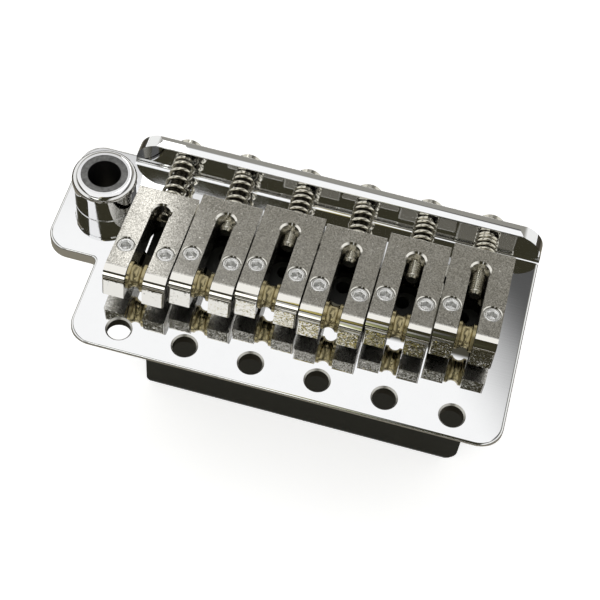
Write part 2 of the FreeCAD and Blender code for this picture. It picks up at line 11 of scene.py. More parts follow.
import bpy
import numpy as np
from mathutils import Matrix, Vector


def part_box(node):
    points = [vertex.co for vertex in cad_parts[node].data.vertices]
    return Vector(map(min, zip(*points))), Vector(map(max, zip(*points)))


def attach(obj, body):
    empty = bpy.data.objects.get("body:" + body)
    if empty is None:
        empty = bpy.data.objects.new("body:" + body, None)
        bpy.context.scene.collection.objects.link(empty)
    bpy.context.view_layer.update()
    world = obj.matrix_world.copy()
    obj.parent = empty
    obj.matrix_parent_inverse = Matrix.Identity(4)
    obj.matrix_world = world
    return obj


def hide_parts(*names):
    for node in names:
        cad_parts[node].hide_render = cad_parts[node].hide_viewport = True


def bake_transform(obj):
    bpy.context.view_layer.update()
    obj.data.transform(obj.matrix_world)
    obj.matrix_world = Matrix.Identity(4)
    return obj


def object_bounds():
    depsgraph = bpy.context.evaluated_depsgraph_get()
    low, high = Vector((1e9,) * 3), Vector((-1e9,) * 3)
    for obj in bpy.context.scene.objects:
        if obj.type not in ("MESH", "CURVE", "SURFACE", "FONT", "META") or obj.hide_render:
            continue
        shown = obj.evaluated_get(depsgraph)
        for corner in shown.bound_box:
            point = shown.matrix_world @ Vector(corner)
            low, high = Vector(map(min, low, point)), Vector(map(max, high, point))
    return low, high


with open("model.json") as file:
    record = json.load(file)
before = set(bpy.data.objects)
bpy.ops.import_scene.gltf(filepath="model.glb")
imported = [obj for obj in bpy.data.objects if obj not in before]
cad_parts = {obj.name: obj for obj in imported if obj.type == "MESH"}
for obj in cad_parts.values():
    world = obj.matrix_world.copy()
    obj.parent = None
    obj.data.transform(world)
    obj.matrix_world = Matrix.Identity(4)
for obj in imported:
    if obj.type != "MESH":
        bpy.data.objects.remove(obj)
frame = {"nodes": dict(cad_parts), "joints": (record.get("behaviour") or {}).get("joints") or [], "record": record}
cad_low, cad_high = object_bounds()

MM = 0.001
TURN = 2 * math.pi
STRINGS = range(1, 7)
nodes = frame["nodes"]
joints = {joint["name"]: joint for joint in frame["joints"]}
print("CAD nodes:", len(nodes), "size in mm:", [round(v / MM, 2) for v in cad_high - cad_low])

# %% [markdown]
# ## Measuring a turned piece
# Screws and springs are round about an axis, so a new piece for one needs only that axis, its two ends
# and its radius. They are read from the CAD node's own points, so that the new piece sits exactly where
# the solid is.

# %% Measure a node about an axis
SCREW_AXIS = [0, 1, 0]


def mesh_points(mesh):
    """All the points of a mesh, as an array."""
    flat = np.empty(len(mesh.vertices) * 3, np.float32)
    mesh.vertices.foreach_get("co", flat)
    return flat.reshape(-1, 3).astype(float)


def side_axes(axis):
    """An axis at unit length and two unit vectors that turn anticlockwise round it: one as near to X as
    it can be, and the cross product of the two."""
    along = np.array(axis, float) / np.linalg.norm(axis)
    level = np.array([1.0, 0.0, 0.0])
    level = level - along * level.dot(along)
    level = level / np.linalg.norm(level)
    return along, level, np.cross(along, level)


def measure(name, axis):
    """A point on a turned node's axis, its lowest and highest reach along the axis, and its radius.
    The middle of the node's width, square to the axis, is on the axis."""
    along, level, upright = side_axes(axis)
    points = mesh_points(nodes[name].data)
    height = points @ along
    across = points @ level
    rise = points @ upright
    foot = level * (across.min() + across.max()) / 2 + upright * (rise.min() + rise.max()) / 2
    return foot, height.min(), height.max(), (across.max() - across.min()) / 2


for name in ("intonation_screw_1", "intonation_spring_1"):
    _, low, high, radius = measure(name, SCREW_AXIS)
    print(name, "length", round((high - low) / MM, 2), "width", round(2 * radius / MM, 2), "mm")

# %% [markdown]
# ## Rings and skins
# A screw or a spring is a stack of rings. If every ring has the same number of points, one array holds
# them all, and faces between neighbours follow from the array's shape. Modelling tools could lathe a
# profile too, but a ring can also be a hexagon or a cross, which makes the sockets in the screw heads.

# %% Skin a stack of rings
SHARP = math.radians(32)


def ring_quads(count, around):
    """Quads that join each ring of a stack to the next, as numbers of points."""
    here = np.arange(around)
    beside = (here + 1) % around
    row = np.arange(count - 1)[:, None] * around
    quads = np.stack([row + here, row + beside, row + around + beside, row + around + here], axis=-1)
    return quads.reshape(-1, 4)


def skin(name, rings):
    """A closed mesh over rings shaped (ring, point, xyz): quads join the rings, and a fan to its middle
    closes each end."""
    count, around, _ = rings.shape
    points = np.vstack([rings.reshape(-1, 3), rings[[0, -1]].mean(axis=1)])
    here = np.arange(around)
    beside = (here + 1) % around
    pole = np.full(around, count * around)
    last = (count - 1) * around
    fans = np.vstack([
        np.stack([beside, here, pole], axis=-1),
        np.stack([last + here, last + beside, pole + 1], axis=-1),
    ])
    mesh = bpy.data.meshes.new(name)
    mesh.from_pydata(points.tolist(), [], ring_quads(count, around).tolist() + fans.tolist())
    mesh.polygons.foreach_set("use_smooth", np.ones(len(mesh.polygons), bool))
    mesh.set_sharp_from_angle(angle=SHARP)
    mesh.update()
    piece = bpy.data.objects.new(name, mesh)
    bpy.context.scene.collection.objects.link(piece)
    return piece


def turned_rings(foot, axis, radius, height):
    """Rings about an axis: radius and height are arrays shaped (ring, point)."""
    along, level, upright = side_axes(axis)
    angle = np.linspace(0, TURN, radius.shape[1], endpoint=False)
    outward = np.cos(angle)[:, None] * level + np.sin(angle)[:, None] * upright
    return foot + radius[:, :, None] * outward + height[:, :, None] * along


print("edges stay sharp from", round(math.degrees(SHARP)), "degrees")

# %% [markdown]
# ## Screw threads
# Six long screws set each saddle's distance from the tail, and twelve short ones set its height. Both are
# threaded, which the solids leave out. Going up one pitch or round one turn comes back to the same place
# on a thread, so its depth is a function of height over pitch minus the share of a turn.

# %% Rings of a thread
AROUND = 36
PER_PITCH = 9
THREAD_DEPTH = 0.5
V_SLOPE = 1.35
V_FLAT = 0.25
angles = np.linspace(0, TURN, AROUND, endpoint=False)


def thread_rings(low, high, crest, pitch):
    """Radius and height of a thread's rings. The radius dips from the crest by a flat-topped V of the
    phase, which is height over pitch minus angle over a turn, and the dip fades out over one pitch at
    each end."""
    steps = int((high - low) / pitch * PER_PITCH)
    height = np.linspace(low, high, steps)[:, None] * np.ones(AROUND)
    phase = (height / pitch - angles / TURN) % 1.0
    dip = np.clip(V_SLOPE * np.abs(2 * phase - 1) - V_FLAT, 0, 1)
    fade = np.clip(np.minimum(height - low, high - height) / pitch, 0, 1)
    return crest - THREAD_DEPTH * pitch * dip * fade, height


def level_rings(radii, heights):
    """Plain round rings, from one radius and one height each."""
    radius = np.array(radii, float)[:, None] * np.ones(AROUND)
    height = np.array(heights, float)[:, None] * np.ones(AROUND)
    return radius, height


def stack(*parts):
    """Joins (radius, height) parts into one stack of rings."""
    return np.vstack([p[0] for p in parts]), np.vstack([p[1] for p in parts])


print("points round a ring:", AROUND, "rings to a pitch:", PER_PITCH)

# %% [markdown]
# ## Intonation screws
# A domed head with a cross recess sits behind the wall. A boolean could cut the recess, but it often leaves
# ragged faces. A cross seen from its middle has one distance to its edge in each direction: of its two
# bars, the one that reaches further. So the rings on the dome slide from the round rim to that cross, and
# then go down its walls.

# %% The long screw's rings
SCREW_PITCH = 0.45 * MM
SCREW_CREST = 1.2 * MM
POINT_CHAMFER = 0.3 * MM
HEAD_RIM = 0.7 * MM
HEAD_DOME = 0.9 * MM
HEAD_EDGE = 0.1 * MM
DOME_RINGS = 7
CROSS_HALF_WIDTH = 0.28 * MM
CROSS_HALF_SPAN = 1.05 * MM
CROSS_DEPTH = 0.95 * MM
CROSS_TAPER = np.array([0.9, 0.45])
TINY = 1e-9


def cross_edge(half_span, half_width):
    """Distance from a cross's middle to its edge in each direction: each bar gives the nearer of its end
    and its side, and the further of the two bars counts. The cross is turned by an eighth."""
    cosine = np.maximum(np.abs(np.cos(angles + TURN / 8)), TINY)
    sine = np.maximum(np.abs(np.sin(angles + TURN / 8)), TINY)
    level_bar = np.minimum(half_span / cosine, half_width / sine)
    upright_bar = np.minimum(half_width / cosine, half_span / sine)
    return np.maximum(level_bar, upright_bar)


def long_screw_rings(tip, crown, head):
    """Point, thread, head and recess. The dome is a cap of a sphere, whose radius follows from its width
    and rise, and the recess narrows from the cross to its floor."""
    seat = crown - HEAD_RIM - HEAD_DOME
    point = level_rings(
        [SCREW_CREST - POINT_CHAMFER, SCREW_CREST - 0.1 * POINT_CHAMFER], [tip, tip + POINT_CHAMFER])
    thread = thread_rings(tip + 1.1 * POINT_CHAMFER, seat - 2 * HEAD_EDGE, SCREW_CREST, SCREW_PITCH)
    under = level_rings(
        [SCREW_CREST, SCREW_CREST, head - HEAD_EDGE, head], [seat - HEAD_EDGE, seat, seat, seat + HEAD_EDGE])
    cross = cross_edge(CROSS_HALF_SPAN, CROSS_HALF_WIDTH)
    share = np.linspace(0, 1, DOME_RINGS)[:, None]
    sphere = (head ** 2 + HEAD_DOME ** 2) / (2 * HEAD_DOME)
    dome_radius = head * (1 - share) + cross * share
    dome = (dome_radius, crown - sphere + np.sqrt(sphere ** 2 - dome_radius ** 2))
    recess = CROSS_TAPER[:, None] * cross
    return stack(point, thread, under, dome, (recess, np.full_like(recess, crown - CROSS_DEPTH)))


print("cross recess, widest reach in mm:", round(cross_edge(CROSS_HALF_SPAN, CROSS_HALF_WIDTH).max() / MM, 2))

# %% [markdown]
# Under its spring a thread lies in the spring's shade, which is painted on it as a dark colour. A texture
# can't know where each spring is, but a number on each point of the mesh, an attribute, can say it, and the
# finish reads it later. Each screw rides on its own body, because it turns in the wall, and stands for the
# solid screw.

# %% Cut the intonation screws
SPRING_SHADE_EDGE = 0.5 * MM


def shade_thread(piece, low, high):
    """Marks the points that a spring hides with an attribute, for its painted shade. It is the way to the nearer
    end of the spring over a soft edge, kept between 0 and 1."""
    way = mesh_points(piece.data)[:, 1]
    oil = np.clip(np.minimum(way - low[1], high[1] - way) / SPRING_SHADE_EDGE, 0, 1)
    piece.data.attributes.new("oil", "FLOAT", "POINT").data.foreach_set("value", oil)


def intonation_screw(number):
    """One long screw, from the wall to the saddle."""
    foot, tip, crown, head = measure(f"intonation_screw_{number}", SCREW_AXIS)
    rings = turned_rings(foot, SCREW_AXIS, *long_screw_rings(tip, crown, head))
    piece = skin(f"long_screw_{number}", rings)
    shade_thread(piece, *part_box(f"intonation_spring_{number}"))
    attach(piece, f"screw_{number}")
    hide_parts(f"intonation_screw_{number}")
    return piece


long_screws = [intonation_screw(number) for number in STRINGS]
print("intonation screws:", len(long_screws), "faces each:", len(long_screws[0].data.polygons))

# %% [markdown]
# ## Height screws
# Two socket set screws lift each saddle. Their axis leans with the saddle, so it is read from the joint
# along which the screw slides. The socket is a hexagon, whose edge in each direction is half its width
# over the cosine of the angle to the nearest flat, so rings can make it as they make the cross. Round it
# the rim is a little rounded, which gives each screw its bright ring. The tip stands a hair off the plate,
# so that it stays clear of it when a raised saddle slides back.

# %% Cut the height screws
GRUB_PITCH = 0.5 * MM
THREAD_STOP = 0.25 * MM
TIP_LIFT = 0.12 * MM
BALL_SHARES = np.linspace(0.08, 1, 7)
BALL_STEP = 0.05 * MM
RIM_DROP = 0.16 * MM
RIM_SHARES = np.linspace(0.08, 0.92, 9)
HEX_ACROSS = 1.5 * MM
HEX_DEPTH = 1.4 * MM
HEX_LEAD = 0.1 * MM
HEX_CONE = 1.1


def hexagon_edge(across):
    """Distance from a hexagon's middle to its edge in each direction."""
    sixth = TURN / 6
    from_flat = (angles + sixth / 2) % sixth - sixth / 2
    return across / 2 / np.cos(from_flat)


def short_screw_rings(tip, top, radius):
    """Round tip, thread, rounded rim and hexagon socket. The tip is a quarter circle, and the rim half an
    ellipse from the thread to the hexagon."""
    quarter = BALL_SHARES * TURN / 4
    ball = level_rings(radius * np.sin(quarter), tip + radius * (1 - np.cos(quarter)))
    thread = thread_rings(tip + radius + BALL_STEP, top - THREAD_STOP, radius, GRUB_PITCH)
    hexagon = hexagon_edge(HEX_ACROSS)
    inner = hexagon + HEX_LEAD
    bend = RIM_SHARES[:, None] * TURN / 2
    rim = (
        (radius + inner) / 2 + (radius - inner) / 2 * np.cos(bend),
        top - RIM_DROP * (1 - np.sin(bend)) * np.ones(AROUND),
    )
    depths = np.array([RIM_DROP + HEX_LEAD, HEX_DEPTH, HEX_CONE * HEX_DEPTH])
    socket = (np.stack([hexagon, hexagon, hexagon / 2]), top - depths[:, None] * np.ones(AROUND))
    return stack(ball, thread, rim, socket)


def height_screw(number, side):
    """One short screw, from the saddle to the plate."""
    node = f"height_screw_{number}_{side}"
    axis = joints[f"height_screw_{side}_{number}"]["axis"]
    foot, low, top, radius = measure(node, axis)
    rings = turned_rings(foot, axis, *short_screw_rings(low + TIP_LIFT, top, radius))
    piece = skin(f"set_screw_{number}_{side}", rings)
    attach(piece, f"height_{side}_{number}")
    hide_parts(node)
    return piece


set_screws = [height_screw(number, side) for number in STRINGS for side in ("left", "right")]
print("height screws:", len(set_screws), "faces each:", len(set_screws[0].data.polygons))

# %% [markdown] ## Intonation springs A spring on each long screw pushes the saddle away from the wall.
# It is a round wire carried along a helix, six turns of wire a little thicker and fuller than the
# solid's, as the photograph shows them. The turns of a wound spring lie closer together at its ends, so
# the way along the axis runs a little ahead and behind an even pitch.

# %% Wind the springs
WIRE = 0.65 * MM
COILS = 6
FULLER = 0.2 * MM
CLOSER_ENDS = 0.3
WIRE_SIDES = 14
STEPS_PER_COIL = 44


def spring_rings(foot, low, high, radius):
    """Rings of a wire on a helix about Y. The angle grows evenly. The way along Y is the share minus a
    sine of it, which slows it at both ends. Each ring stands square to the helix's own direction."""
    share = np.linspace(0, 1, COILS * STEPS_PER_COIL + 1)
    angle = TURN * COILS * share
    span = high - low - WIRE
    way = low + WIRE / 2 + span * (share - CLOSER_ENDS * np.sin(TURN * share) / TURN)
    outward = np.stack([np.sin(angle), np.zeros_like(angle), np.cos(angle)], axis=-1)
    centre = foot + (radius - WIRE / 2) * outward + way[:, None] * np.array(SCREW_AXIS)
    forward = np.gradient(centre, axis=0)
    forward = forward / np.linalg.norm(forward, axis=1)[:, None]
    sideways = np.cross(forward, outward)
    around = np.linspace(0, TURN, WIRE_SIDES, endpoint=False)[None, :, None]
    ring = np.cos(around) * outward[:, None] + np.sin(around) * sideways[:, None]
    return centre[:, None] + WIRE / 2 * ring


def intonation_spring(number):
    """One spring, held by the wall at its tail end and by the saddle at its front end."""
    node = f"intonation_spring_{number}"
    foot, low, high, radius = measure(node, SCREW_AXIS)
    piece = skin(f"coil_spring_{number}", spring_rings(foot, low, high, radius + FULLER))
    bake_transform(piece)
    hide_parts(node)
    return piece


springs = [intonation_spring(number) for number in STRINGS]
print("springs:", len(springs), "coils each:", COILS)

# %% [markdown]
# ## Building materials
# Every finish is one Principled shader fed by a few textures on Object coordinates, which stay with the
# piece when it moves. Nodes could be placed one by one, but a finish then reads like wiring. These helpers
# take an output or a plain value for each input, so a finish reads like a formula.

# %% Helpers for node trees
class Finish:
    """A material under construction: its node tree, its shader and the coordinates it reads."""

    def __init__(self, name, **values):
        self.material = bpy.data.materials.new(name)
        self.material.use_nodes = True
        self.tree = self.material.node_tree
        self.shader = self.tree.nodes["Principled BSDF"]
        for socket, value in values.items():
            self.shader.inputs[socket.replace("_", " ")].default_value = value
        coordinates = self.add("ShaderNodeTexCoord").outputs
        self.place = coordinates["Object"]
        self.facing = coordinates["Normal"]

    def add(self, kind, inputs=(), **settings):
        """A node with its settings. Each input takes another node's output or a plain value."""
        node = self.tree.nodes.new(kind)
        for name, value in settings.items():
            setattr(node, name, value)
        for socket, value in dict(inputs).items():
            if isinstance(value, bpy.types.NodeSocket):
                self.tree.links.new(value, node.inputs[socket])
            else:
                node.inputs[socket].default_value = value
        return node

    def feed(self, socket, output):
        """Links an output to the shader."""
        self.tree.links.new(output, self.shader.inputs[socket])

    def source(self, socket):
        """The output that feeds one of the shader's sockets so far."""
        return self.shader.inputs[socket].links[0].from_socket

    def math(self, operation, *values):
        """One step of arithmetic on numbers."""
        return self.add("ShaderNodeMath", enumerate(values), operation=operation).outputs[0]

    def times(self, first, second):
        """The product of two numbers."""
        return self.math("MULTIPLY", first, second)

    def vector(self, operation, *values):
        """One step of arithmetic on vectors. A dot product and a length are numbers."""
        outputs = self.add("ShaderNodeVectorMath", enumerate(values), operation=operation).outputs
        return outputs["Value" if operation in ("DOT_PRODUCT", "LENGTH") else "Vector"]

    def scaled(self, vector, amount):
        """A vector times a number."""
        inputs = {0: vector, "Scale": amount}
        return self.add("ShaderNodeVectorMath", inputs, operation="SCALE").outputs["Vector"]

    def axis(self, vector, name):
        """One of a vector's three numbers."""
        return self.add("ShaderNodeSeparateXYZ", {0: vector}).outputs[name]

    def noise(self, scale, detail=2.0, roughness=0.5):
        """Cloudy noise, with so many lumps to the metre, or three numbers for so many along each axis."""
        place = self.place
        if isinstance(scale, tuple):
            place = self.add("ShaderNodeMapping", {"Vector": place, "Scale": scale}).outputs["Vector"]
            scale = 1.0
        inputs = {"Vector": place, "Scale": scale, "Detail": detail, "Roughness": roughness}
        return self.add("ShaderNodeTexNoise", inputs).outputs["Fac"]

    def cells(self, scale):
        """One random colour for each cell of a pattern with so many cells to the metre."""
        return self.add("ShaderNodeTexVoronoi", {"Vector": self.place, "Scale": scale}).outputs["Color"]

    def channel(self, colour, name):
        """One of a colour's three numbers."""
        return self.add("ShaderNodeSeparateColor", {0: colour}).outputs[name]

    def ramp(self, value, span, to=(0.0, 1.0)):
        """Smooth step: while a value crosses a span, the result goes from one number to another."""
        inputs = {"Value": value, "From Min": span[0], "From Max": span[1], "To Min": to[0], "To Max": to[1]}
        return self.add("ShaderNodeMapRange", inputs, interpolation_type="SMOOTHSTEP").outputs["Result"]

    def mix(self, share, first, second):
        """A colour between two, each an output or three plain numbers."""
        first, second = [c if isinstance(c, bpy.types.NodeSocket) else (*c, 1) for c in (first, second)]
        return self.add("ShaderNodeMix", {0: share, 6: first, 7: second}, data_type="RGBA").outputs[2]

    def bump(self, height, strength, distance, normal=None):
        """A surface that follows a height, as seen in its shading."""
        inputs = {"Height": height, "Strength": strength, "Distance": distance}
        if normal is not None:
            inputs["Normal"] = normal
        return self.add("ShaderNodeBump", inputs).outputs["Normal"]


print("a finish is made with:", [name for name in vars(Finish) if not name.startswith("_")])

# %% [markdown]
# CAD nodes come with a plain packed material in their slot, and new pieces with none. Both get a finish in
# the same way: the slots are emptied and the finish is put in. The node itself isn't moved or remeshed.

# %% Helpers for coating
def coat(finish, pieces):
    """Gives pieces a finish in place of what they have."""
    for piece in pieces:
        piece.data.materials.clear()
        piece.data.materials.append(finish.material)


def six(name):
    """The six CAD nodes of one name, one for each string."""
    return [nodes[f"{name}_{number}"] for number in STRINGS]


print("to be coated: CAD nodes", len(nodes), "of which replaced", len(long_screws + set_screws + springs))

# %% [markdown]
# ## Chrome plate
# Bright chrome is a mirror with a faint blue cast. What keeps it from looking like a computer's mirror
# is small: a slow ripple in the polished sheet, a haze that comes and goes, and hairlines from wiping. A
# picture of scratches could be laid on, but noise has no seams and needs no unwrapping.

# %% Chrome for the plate and the collar
PLATE_TINT = (0.93, 0.935, 0.94)
COLLAR_TINT = (0.9, 0.9, 0.905)
HAZE_PER_METRE = 220.0
HAZE_SPAN = (0.35, 0.75)
HAZED = 0.96
MIRROR_ROUGHNESS = (0.02, 0.05)
RIPPLES_PER_METRE = 55.0
RIPPLE_HEIGHT = 0.4 * MM
WIPES_PER_METRE = (60.0, 2600.0, 60.0)
WIPE_HEIGHT = 0.05 * MM
WIPE_STRENGTH = 0.01


def chrome(name, tint, ripple):
    """Mirror chrome: roughness from a cloudy haze, and a bump from slow ripple and fine wipe lines."""
    finish = Finish(name, Metallic=1.0)
    haze = finish.noise(HAZE_PER_METRE, detail=4.0, roughness=0.6)
    finish.feed("Base Color", finish.mix(haze, tint, [HAZED * c for c in tint]))
    finish.feed("Roughness", finish.ramp(haze, HAZE_SPAN, MIRROR_ROUGHNESS))
    slow = finish.bump(finish.noise(RIPPLES_PER_METRE, detail=1.0), ripple, RIPPLE_HEIGHT)
    wipes = finish.noise(WIPES_PER_METRE, detail=3.0)
    finish.feed("Normal", finish.bump(wipes, WIPE_STRENGTH, WIPE_HEIGHT, slow))
    return finish


plate_chrome = chrome("plate_chrome", PLATE_TINT, ripple=0.05)
collar_chrome = chrome("collar_chrome", COLLAR_TINT, ripple=0.03)
coat(plate_chrome, [nodes["base_plate"]])
coat(collar_chrome, [nodes["arm_collar"]])
print("chrome on:", "base_plate", "arm_collar")

# %% [markdown]
# Under the saddles the plate lies in their shade, which is painted on it as a darker colour. A painted mask
# could mark that place, but the saddles' own boxes give it without one.

# %% Painted shade under the saddles
SHADE_UNDER_SADDLES = (0.07, 0.066, 0.05)
SHADE_UNDER_EDGE = 1 * MM
NOSE_DEPTH = 2 * MM


def box_share(finish, low, high, edge):
    """One inside a box in x and y and nought outside, with a soft edge: four smooth steps multiplied."""
    shares = []
    for axis, first, last in zip("XY", low, high):
        way = finish.axis(finish.place, axis)
        shares.append(finish.ramp(way, (first, first + edge)))
        shares.append(finish.ramp(way, (last - edge, last), (1.0, 0.0)))
    return finish.times(finish.times(shares[0], shares[1]), finish.times(shares[2], shares[3]))


def lay_colour(finish, share, colour):
    """Lays another colour over a finish's own, used for wear and for painted shade."""
    finish.feed("Base Color", finish.mix(share, finish.source("Base Color"), colour))


# Painted shade: the plate's colour is darkened under the saddles, where their shade falls.
saddle_boxes = [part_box(f"saddle_{number}") for number in STRINGS]
shade_under_low = (saddle_boxes[0][0][0], max(low[1] for low, _ in saddle_boxes) + NOSE_DEPTH)
shade_under_high = (saddle_boxes[-1][1][0], min(high[1] for _, high in saddle_boxes))
lay_colour(plate_chrome, box_share(plate_chrome, shade_under_low, shade_under_high, SHADE_UNDER_EDGE), SHADE_UNDER_SADDLES)
print("dust in mm, from", [round(v / MM, 1) for v in shade_under_low], "to", [round(v / MM, 1) for v in shade_under_high])

# %% [markdown]
# The six pivot holes are worn grey at their mouths, and their walls are painted dark as the shade inside.
# The record's mounts say where they are. In that row only the holes' cones and walls don't lie level, so
# the slope of the surface finds them.

# %% Wear and painted shade in the pivot holes
WORN_CONE = (0.62, 0.61, 0.57)
PAINTED_WALL_SHADE = (0.035, 0.033, 0.027)
WORN_ROUGHNESS = 0.38
CONE_LEVEL = (0.86, 0.95)
WALL_LEVEL = (0.3, 0.5)
MOUTH_MARGIN = 0.6 * MM
ROW_EDGE = 0.1 * MM


def wear_and_shade_holes(finish, reach_x, reach_y):
    """Greys the cones with wear and paints the walls of the pivot holes dark as shade, by how level the surface is
    there.
    """
    level = finish.math("ABSOLUTE", finish.axis(finish.facing, "Z"))
    row = box_share(finish, (-reach_x, -reach_y), (reach_x, reach_y), ROW_EDGE)
    cone = finish.times(row, finish.ramp(level, CONE_LEVEL, (1.0, 0.0)))
    wall = finish.times(row, finish.ramp(level, WALL_LEVEL, (1.0, 0.0)))
    lay_colour(finish, cone, WORN_CONE)
    # Painted shade: the hole walls get a near-black colour for the shade inside the holes.
    lay_colour(finish, wall, PAINTED_WALL_SHADE)
    worn = finish.times(cone, WORN_ROUGHNESS)
    finish.feed("Roughness", finish.math("MAXIMUM", finish.source("Roughness"), worn))


mounts = frame["record"]["mounts"]
pivot_rows = [mount["dims"] for mount in mounts if mount["name"].startswith("pivot_holes")]
mouth = pivot_rows[0]["hole_r_mm"] * MM + MOUTH_MARGIN
row_half = max(row["spacing_x_mm"] for row in pivot_rows) / 2 * MM
wear_and_shade_holes(plate_chrome, row_half + mouth, mouth)
print("pivot holes over", round(2 * row_half / MM, 2), "mm, mouths of", round(mouth / MM, 2), "mm radius")

# %% [markdown]
# ## Blasted nickel
# The saddles are blasted with grit, polished at the rolled nose and filed on the front, with painted shade
# on the tail, which faces the wall across a narrow gap.
# Each area could have a material on its own faces, but then it would end in a hard line. Each faces its own
# way, and that finds it with a soft edge: the nose is the only one that faces both up and forward, so it is
# the product of those two. Up is the axis of the set screws, which lean with the saddles.

# %% Areas of a saddle
NOSE_UP = (0.1, 0.2)
NOSE_FORWARD = (0.08, 0.16)
FRONT_FORWARD = (0.9, 0.97)
SHADED_TAIL_FORWARD = (-0.6, -0.8)
saddle_up = np.array(joints["height_screw_left_1"]["axis"], float)
saddle_forward = np.cross([1.0, 0.0, 0.0], saddle_up)


def saddle_areas(finish):
    """Shares of the nose, the front and the tail, from dot products of the surface's normal."""
    upward = finish.vector("DOT_PRODUCT", finish.facing, saddle_up)
    frontal = finish.vector("DOT_PRODUCT", finish.facing, saddle_forward)
    nose = finish.times(finish.ramp(upward, NOSE_UP), finish.ramp(frontal, NOSE_FORWARD))
    return nose, finish.ramp(frontal, FRONT_FORWARD), finish.ramp(frontal, SHADED_TAIL_FORWARD)


print("saddles lean by", round(math.degrees(math.asin(abs(saddle_up[1]))), 2), "degrees")

# %% [markdown]
# Blasted metal glitters, because each pit is a small facet that leans its own way. A bump from noise would
# look soft. A cell pattern gives every cell one random colour instead, and that colour, read as a vector,
# tips the surface there. A few cells lean much further and catch a lamp as sparks. The front is filed a
# little under, which a tilt of its shading gives.

# %% Facets of a saddle
GRIT = 5600.0
LEAN = 0.03
FRONT_LEAN = 0.14
SPARKS = 4600.0
SPARK_CHANCE = (0.95, 0.97)
SPARK_LEAN = 0.36
UNDERCUT = 0.21
MID_GREY = (0.5, 0.5, 0.5)
WHOLE = (0.0, 1.0)


def facet_normal(finish, grit, rough, front):
    """The surface's normal plus a random vector for each cell, longer on the front and longest on sparks,
    and minus a share of up on the front. Polished places get none of the random vector."""
    lean = finish.vector("SUBTRACT", grit, MID_GREY)
    spark = finish.ramp(finish.channel(finish.cells(SPARKS), "Red"), SPARK_CHANCE)
    usual = finish.ramp(front, WHOLE, (LEAN, FRONT_LEAN))
    length = finish.math("MAXIMUM", usual, finish.times(spark, SPARK_LEAN))
    tipped = finish.scaled(lean, finish.times(rough, length))
    dropped = finish.scaled(-saddle_up, finish.times(front, UNDERCUT))
    flat = finish.add("ShaderNodeNewGeometry").outputs["Normal"]
    return finish.vector("NORMALIZE", finish.vector("ADD", finish.vector("ADD", flat, tipped), dropped))


print("grains to the millimetre:", round(GRIT * MM, 1), "sparks among them:", round(SPARKS * MM, 1))

# %% [markdown]
# The same cells speckle the colour, so that dark pits and bright edges lie on the facets. The nose and the
# front are bright throughout, and the tail is painted dark as the shade between it and the wall.

# %% Blasted nickel for the saddles
PIT_NICKEL = (0.44, 0.425, 0.385)
BRIGHT_NICKEL = (0.86, 0.84, 0.785)
PITS_PER_METRE = 260.0
PIT_SPAN = (0.35, 0.7)
PIT_ROUGHNESS = (0.2, 0.26)
NOSE_POLISH = 0.2
FRONT_POLISH = 0.5


def blasted_nickel():
    """Nickel with leaning facets: specks in the colour, and roughness cut down by polishing."""
    finish = Finish("saddle_satin", Metallic=1.0)
    nose, front, tail = saddle_areas(finish)
    rough = finish.math("SUBTRACT", 1.0, nose)
    grit = finish.cells(GRIT)
    smooth = finish.math("MAXIMUM", nose, front)
    grain = finish.math("MAXIMUM", finish.channel(grit, "Green"), smooth)
    # Painted shade: the tail, facing the wall, gets only the dark pit colour.
    bright = finish.times(grain, finish.ramp(tail, WHOLE, (1.0, 0.0)))
    finish.feed("Base Color", finish.mix(bright, PIT_NICKEL, BRIGHT_NICKEL))
    pits = finish.ramp(finish.noise(PITS_PER_METRE, detail=5.0, roughness=0.6), PIT_SPAN, PIT_ROUGHNESS)
    polish = finish.times(
        finish.ramp(rough, WHOLE, (NOSE_POLISH, 1.0)), finish.ramp(front, WHOLE, (1.0, FRONT_POLISH)))
    finish.feed("Roughness", finish.times(pits, polish))
    finish.feed("Normal", facet_normal(finish, grit, rough, front))
    return finish


coat(blasted_nickel(), six("saddle"))
print("blasted nickel on:", [node.name for node in six("saddle")])

# %% [markdown]
# ## Turned and drawn steel
# Rollers, screws and springs are small steel parts with a warm plating, the rollers the darkest. Turning
# leaves fine rings round a roller or screw, which a noise stretched one way gives, and a drawn wire has
# even specks. Such marks are too fine to model, so one function makes all four finishes from a few numbers
# each. The long screws are painted dark as the springs' shade where their attribute says so.

# %% Steel for rollers, screws and springs
STEELS = {
    "roller_polish": {
        "low": (0.34, 0.285, 0.15), "high": (0.46, 0.4, 0.24),
        "marks": (5200.0, 150.0, 150.0), "roughness": 0.25, "strength": 0.02},
    "screw_steel": {
        "low": (0.6, 0.58, 0.51), "high": (0.74, 0.72, 0.65),
        "marks": (500.0, 2400.0, 500.0), "roughness": 0.17, "strength": 0.1},
    "spring_steel": {
        "low": (0.62, 0.59, 0.5), "high": (0.78, 0.75, 0.66),
        "marks": (1500.0, 1500.0, 1500.0), "roughness": 0.14, "strength": 0.08},
    "grub_chrome": {
        "low": (0.8, 0.8, 0.79), "high": (0.9, 0.9, 0.89),
        "marks": (1800.0, 1800.0, 300.0), "roughness": 0.28, "strength": 0.06},
}
CLOUDS_PER_METRE = 700.0
MARK_HEIGHT = 0.03 * MM
SMOOTHEST = 0.6
ROUGHEST = 1.5
MIDDLE_SPAN = (0.3, 0.7)
PAINTED_SPRING_SHADE = (0.06, 0.054, 0.042)


